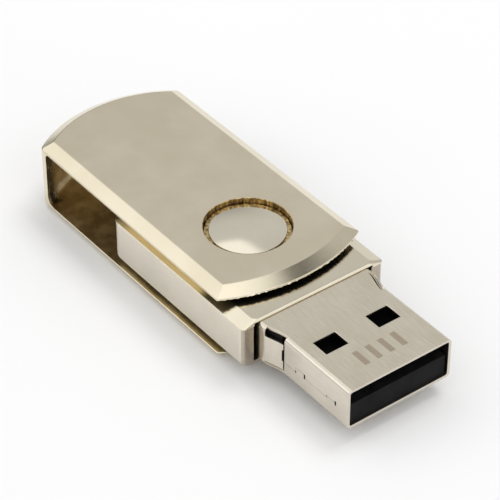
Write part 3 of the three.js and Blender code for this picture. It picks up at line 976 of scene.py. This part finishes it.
# Each nick: the same two places, its length and its height.
NICKS = [
    (1.7, -0.55, 0.15, 0.25), (2.97, -0.27, 0.2, 0.55), (6.15, -0.3, 0.06, 0.35), (7.37, -0.28, 0.2, 0.5),
]
lines, start = [], SEAM_START
for (stop, level), (_, after) in zip(LINE_LEVELS, LINE_LEVELS[1:] + LINE_LEVELS[-1:]):
    lines.append((start, stop, level - SEAM / 2, level + SEAM / 2))
    low, high = sorted((level, after))
    lines.append((stop - SEAM / 2, stop + SEAM / 2, low, high + SEAM / 2))
    start = stop
nicks = [(x - long / 2, x + long / 2, z - tall / 2, z + tall / 2) for x, z, long, tall in NICKS]


def press(bm, marks, depth):
    """Presses marks (from, to, foot, top) into the near side."""
    skin, deep = -PLUG_HALF - SKIN, -PLUG_HALF + SKIN
    boxes = [
        ((flare_end + x0, skin, middle + z0), (flare_end + x1, deep, middle + z1))
        for x0, x1, z0, z1 in marks
    ]
    for low, high in boxes:
        score(bm, low, high)
    pressed = [
        face for face in bm.faces
        if any(inside(face.calc_center_median(), low, high) for low, high in boxes)
    ]
    pull(bm, pressed, (0, depth, 0))
    print(len(pressed), "faces pressed in by", depth)


press(bm, lines, SEAM_DEPTH)
press(bm, nicks, NICK_DEPTH)


# %% The plug's finishes
def plug_paint(face):
    """1 on the broad upper face, which carries the mark. The rest gets the darker copy: painted shade."""
    return int(face.normal.z > 0.9 and face.calc_center_median().z > plug_top - 0.05)


finish(
    bm, "plug_sleeve", "drive", ["plug_shell"], [shaded_plug_steel, etched_steel], plug_paint,
)

# %% [markdown]
# ## Pivot
# Rivets and bushes are turned on a lathe, and spinning half a section about the pivot's axis is the
# same work. The dome is an arc in that section, one point spun about a level axis.

# %% Turned parts
TURNED_EDGE = 0.05


def turned(profile_of, name, node, paint, slot, below):
    """Spins the edges that profile_of draws, above the housing or turned over below it."""
    bm = bmesh.new()
    profile_of(bm)
    bmesh.ops.spin(
        bm, geom=bm.verts[:] + bm.edges[:], cent=(pivot.x, 0, 0), axis=(0, 0, 1), angle=2 * pi, steps=96,
        use_merge=True, use_duplicate=False,
    )
    bmesh.ops.remove_doubles(bm, verts=bm.verts[:], dist=1e-4)
    if below:
        over = Matrix.Rotation(pi, 3, "X")
        bmesh.ops.rotate(bm, cent=(pivot.x, 0, middle), matrix=over, verts=bm.verts[:])
    bmesh.ops.recalc_face_normals(bm, faces=bm.faces[:])
    ease(bm, sharp_edges(bm, radians(40)), TURNED_EDGE)
    finish(bm, name, "drive", [node], [paint])


def line(bm, points):
    verts = [bm.verts.new((pivot.x + out, 0, z)) for out, z in points]
    for a, b in zip(verts, verts[1:]):
        bm.edges.new((a, b))
    return verts


# %% Domed rivets and bushes
RIVET_HEAD, RIVET_RIM, RIVET_SINK, RIVET_SHANK = 3.74, 0.18, 0.01, 1.9
RIVET_TAIL, TAIL_THICKNESS, HEAD_LIFT = 2.6, 0.35, 0.3
FLANGE_OUT, PLATE_GAP = 1.15, 0.08  # the flange beyond the hole, under the plate
SPIGOT_GAP, SPIGOT_RISE = 0.07, 0.27  # the ring inside the hole, in its wall
plate_foot = cover_height - PLATE
head_foot = plate_foot + HEAD_LIFT


def rivet_profile(bm):
    crown = cover_height - RIVET_SINK
    rise = crown - head_foot - RIVET_RIM
    dome = (RIVET_HEAD ** 2 + rise ** 2) / (2 * rise)
    tail_top = lid_high.z - SHEET - CLEARANCE
    tail_foot = tail_top - TAIL_THICKNESS
    points = line(bm, [
        (0, tail_foot), (RIVET_TAIL, tail_foot), (RIVET_TAIL, tail_top), (RIVET_SHANK, tail_top),
        (RIVET_SHANK, head_foot), (RIVET_HEAD, head_foot), (RIVET_HEAD, head_foot + RIVET_RIM),
    ])
    bmesh.ops.spin(
        bm, geom=[points[-1]], cent=(pivot.x, 0, crown - dome), axis=(0, 1, 0),
        angle=-asin(RIVET_HEAD / dome), steps=14, use_duplicate=False,
    )


def bush_profile(bm):
    foot, shoulder, top = lid_high.z + CLEARANCE, plate_foot - PLATE_GAP, plate_foot + SPIGOT_RISE
    bore, flange, spigot = RIVET_SHANK + CLEARANCE, HOLE_RADIUS + FLANGE_OUT, HOLE_RADIUS - SPIGOT_GAP
    points = line(bm, [
        (bore, foot), (flange, foot), (flange, shoulder), (spigot, shoulder), (spigot, top), (bore, top),
    ])
    bm.edges.new((points[-1], points[0]))


for side, below in (("top", False), ("bottom", True)):
    turned(rivet_profile, f"{side}_dome", f"{side}_pivot_rivet", dome_nickel, "nickel_dome", below)
    turned(bush_profile, f"{side}_bush", f"{side}_pivot_bush", brass, "pivot_brass", below)

# %% [markdown]
# ## Plastics, gold and the board
# Inside the metal are moulded plastics, fired ceramic and glaze, each with a fine grain from its
# mould or kiln. The plug's mouth looks black, so its plastic mirrors little. The contact springs show
# gold for a short way only, and are painted black before and after it: painted shade, for the dark
# inside of the plug.

# %% Moulded and fired finishes
# black for the plastic, and painted shade on the contact springs
PLASTIC_AND_SHADE_BLACK = (0.006, 0.0055, 0.006)


def moulded(name, colour, gloss=0.5, grain=0.003, size=0.12, shine=0.5):
    paint = Paint(name, Specular_IOR_Level=shine)
    where = paint.place()
    fine = paint.noise(where, size, detail=4)
    cloud = paint.noise(where, 2.0, detail=2)
    lighter = tuple(min(1.0, c * 1.35 + 0.004) for c in colour)
    paint.set(Base_Color=paint.mix(paint.between(cloud * 0.5 + fine * 0.5, 0.35, 0.65), colour, lighter))
    paint.set(Roughness=gloss + (fine - 0.5) * 0.2, Normal=paint.bump(fine, grain))
    return paint.material


black_plastic = moulded("black plastic", PLASTIC_AND_SHADE_BLACK, shine=0.06)
epoxy = moulded("moulded epoxy", (0.018, 0.018, 0.020), gloss=0.55, size=0.08)
ceramic = moulded("fired ceramic", (0.40, 0.27, 0.15), gloss=0.6)
glaze = moulded("black glaze", (0.012, 0.012, 0.013), gloss=0.25, grain=0.001)
can_steel = nickel("crystal can", (0.80, 0.80, 0.79), (0.70, 0.70, 0.69), gloss=0.3)
count_nodes(black_plastic, epoxy, ceramic, glaze, can_steel)

# %% Contact gold
GOLD_START, GOLD_END, GOLD_BLUR = 2.2, 4.4, 0.05  # measured from the plug's tip


def gold_with_painted_shade():
    """Gold for a short way, and black, painted shade, before and after it."""
    paint = Paint("gold with painted shade")
    where = paint.place()
    x = paint.axes(where)[0]
    rear, front = plug_high.x - GOLD_END, plug_high.x - GOLD_START
    unshaded = paint.span(x, rear - GOLD_BLUR, rear + GOLD_BLUR)
    unshaded = unshaded * paint.span(x, front + GOLD_BLUR, front - GOLD_BLUR)
    grain = paint.noise(paint.stretch(where, (0.1, 1, 1)), 0.16, detail=4)
    plate = paint.mix(grain, (0.42, 0.28, 0.10), (0.62, 0.43, 0.17))
    # painted shade: black where the springs lie in the plug's dark inside, gold only where unshaded
    paint.set(Base_Color=paint.mix(unshaded, PLASTIC_AND_SHADE_BLACK, plate), Metallic=unshaded)
    return paint.set(Roughness=0.42 + (grain - 0.5) * 0.1, Specular_IOR_Level=0.1).material


gold = gold_with_painted_shade()
print(gold.name, "is bare for", round(GOLD_END - GOLD_START, 2))

# %% [markdown]
# A board is glass cloth under green lacquer, and its copper tracks show through as paler lines.
# The edges of cells with square distances run level, upright and slanting, as tracks do.

# %% Board lacquer
CELL, TRACK_EDGE, TRACK_RELIEF = 1.3, (0.10, 0.06), 0.03


def solder_mask():
    paint = Paint("green solder mask", Coat_Weight=0.4, Coat_Roughness=0.15)
    settings = {"feature": "DISTANCE_TO_EDGE", "distance": "MANHATTAN"}
    inputs = {"Vector": paint.place(), "Scale": MM / CELL}
    cells = paint.node("ShaderNodeTexVoronoi", settings, inputs, output="Distance")
    track = paint.between(cells, *TRACK_EDGE)
    paint.set(Base_Color=paint.mix(track, (0.012, 0.085, 0.03), (0.03, 0.17, 0.06)))
    return paint.set(Roughness=0.4 + track * 0.1, Normal=paint.bump(track, TRACK_RELIEF)).material


green_board = solder_mask()
print(green_board.name, "has cells about", CELL, "across")

# %% [markdown]
# ## Small parts
# These have the right shape already. The contacts and the board's parts lack a softened edge, so
# each is copied, its loose triangles are joined, and its corners are rounded. The plastic ones are
# hidden but for the tongue's end, and keep their meshes.

# %% Eased copies
def eased(node, paint, radius, segments=2):
    bm = bmesh.new()
    bm.from_mesh(frame["nodes"][node].data)
    bmesh.ops.scale(bm, vec=(MM, MM, MM), verts=bm.verts[:])
    bmesh.ops.remove_doubles(bm, verts=bm.verts[:], dist=1e-3)
    bmesh.ops.dissolve_limit(bm, angle_limit=radians(0.5), verts=bm.verts[:], edges=bm.edges[:])
    ease(bm, sharp_edges(bm, radians(30)), radius, segments)
    finish(bm, f"{node}_piece", "drive", [node], [paint])


def painted(node, paint):
    """A CAD node that keeps its shape and gets a finish."""
    part = frame["nodes"][node]
    part.data.materials.clear()
    part.data.materials.append(paint)
    print(node, "keeps its shape, in", paint.name)


for name in ("plug_tongue", "lower_carrier", "upper_carrier"):
    painted(name, black_plastic)
for name in ("contact_power", "contact_data_minus", "contact_data_plus", "contact_ground"):
    eased(name, gold, 0.04)
eased("circuit_board", green_board, 0.03)
for name in ("flash_memory", "controller_chip"):
    eased(name, epoxy, 0.06)
eased("crystal", can_steel, 0.12, 3)
for number in (1, 2, 3, 4):
    eased(f"capacitor_{number}", ceramic, 0.05)
    eased(f"resistor_{number}", glaze, 0.03)

# %% [markdown]
# ## Studio
# The drive lies on a plain pale floor. A backdrop could curve up behind it, but the camera looks
# down, so a level sheet with a faint cloudiness is enough.

# %% Floor
FLOOR_HALF = 2.0  # in metres


def floor_paint():
    paint = Paint("pale floor", Specular_IOR_Level=0.2)
    cloud = paint.noise(paint.place(), 60.0, detail=2)
    paint.set(Base_Color=paint.mix(cloud, (0.86, 0.86, 0.865), (0.90, 0.90, 0.90)), Roughness=0.8)
    return paint.material


bm = bmesh.new()
bmesh.ops.create_grid(bm, x_segments=4, y_segments=4, size=FLOOR_HALF)
floor_mesh = bpy.data.meshes.new("floor")
bm.to_mesh(floor_mesh)
bm.free()
floor = bpy.data.objects.new("floor", floor_mesh)
floor.data.materials.append(floor_paint())
bpy.context.scene.collection.objects.link(floor)
print("floor:", 2 * FLOOR_HALF, "metres across")

# %% [markdown]
# Polished metal shows its surroundings, so the sky is what shades it. Lamps could stand round the
# drive, but a sky written as a formula of direction has no edges and no noise. A bright panel hangs
# overhead, soft lobes add a window here and take light away there, and the sky is dim at the
# horizon, which keeps the shadow dark and close.

# %% Sky
SKY_LEVEL, HORIZON_GLOW, DUSK = 0.56, 0.1, (0.0, 0.6)
PANEL_GLOW, PANEL_SIDE, PANEL_END = 0.50, (0.50, 0.36), (0.86, 0.72)
PANEL_AXIS = (-0.797, 0.604)  # the level direction in which the panel ends
LOWEST = 0.02  # keeps the panel's slopes from growing without end
# Each lobe: its direction, its sharpness and its strength.
SKY_LOBES = [
    ((-0.62, 0.47, 0.63), 4, 0.08),  # faint and broad, at the left
    ((0.21, 0.03, 0.98), 20, 0.22),  # overhead, for the domes
    ((0.80, 0.50, 0.30), 6, 0.70),  # a window at the right
    ((0.24, 0.47, 0.85), 40, -0.60),  # a dark place just past the panel
    ((-0.61, -0.66, 0.42), 22, 0.6),  # low at the left, on the near side
    ((-0.61, 0.78, 0.08), 30, 0.75),  # lower, behind, for the far bevels
]


def soft_sky():
    world = bpy.data.worlds.new("soft sky")
    bpy.context.scene.world = world
    world.use_nodes = True
    sky = Nodes(world.node_tree)
    direction = sky.node("ShaderNodeTexCoord", output="Generated")
    x, y, z = sky.axes(direction)
    height = sky.maths("MAXIMUM", z, LOWEST)
    along = x * PANEL_AXIS[0] + y * PANEL_AXIS[1]
    panel = sky.between(y / height, *PANEL_SIDE) * sky.between(along / height, *PANEL_END)
    dusk = sky.between(z, *DUSK) * (1 - HORIZON_GLOW) + HORIZON_GLOW
    glow = panel * PANEL_GLOW + dusk * SKY_LEVEL
    for towards, sharpness, strength in SKY_LOBES:
        inputs = {0: direction, 1: Vector(towards).normalized()}
        facing = sky.node("ShaderNodeVectorMath", {"operation": "DOT_PRODUCT"}, inputs, output="Value")
        glow = glow + sky.maths("MAXIMUM", facing, 0.0) ** sharpness * strength
    background = world.node_tree.nodes["Background"]
    sky.feed(background.inputs["Strength"], glow)
    sky.feed(background.inputs["Color"], (1, 1, 1))
    print("sky:", len(world.node_tree.nodes), "nodes,", len(SKY_LOBES), "lobes")


soft_sky()

# %% [markdown]
# One large soft lamp, high and a little behind, throws the short shadow. A sun's would be too
# sharp. The lamp is kept out of reflections, where it would stamp a square on the metal.

# %% Lamp
LAMP_PLACE, LAMP_SIZE, LAMP_POWER = Vector((0.0, 0.23, 0.53)), 0.22, 0.76  # metres and watts


def lamp(name, place, size, power):
    """A square lamp that points at the origin."""
    light = bpy.data.lights.new(name, "AREA")
    light.shape = "SQUARE"
    light.size = size
    light.energy = power
    holder = bpy.data.objects.new(name, light)
    holder.location = place
    holder.rotation_euler = (-place).to_track_quat("-Z", "Y").to_euler()
    holder.visible_glossy = False
    bpy.context.scene.collection.objects.link(holder)
    print(f"{name}: {place.length:.2f} metres away, {power} watts")


lamp("soft lamp", LAMP_PLACE, LAMP_SIZE, LAMP_POWER)

# %% [markdown]
# A long lens from a little way off keeps the drive's edges nearly parallel. The camera could be
# turned by angles, but a place and an aim are easier to read.

# %% Camera
CAMERA_PLACE = Vector((0.13957, -0.10480, 0.14430))
CAMERA_AIM = Vector((-0.00320, 0.00394, 0.0))
LENS, SENSOR = 168.6, 36.0
camera = bpy.data.objects.new("camera", bpy.data.cameras.new("camera"))
camera.data.lens = LENS
camera.data.sensor_width = SENSOR
camera.location = CAMERA_PLACE
camera.rotation_euler = (CAMERA_AIM - CAMERA_PLACE).to_track_quat("-Z", "Y").to_euler()
bpy.context.scene.collection.objects.link(camera)
bpy.context.scene.camera = camera
bpy.context.scene.view_settings.view_transform = "Standard"
print("camera:", round((CAMERA_AIM - CAMERA_PLACE).length * MM), "millimetres away")
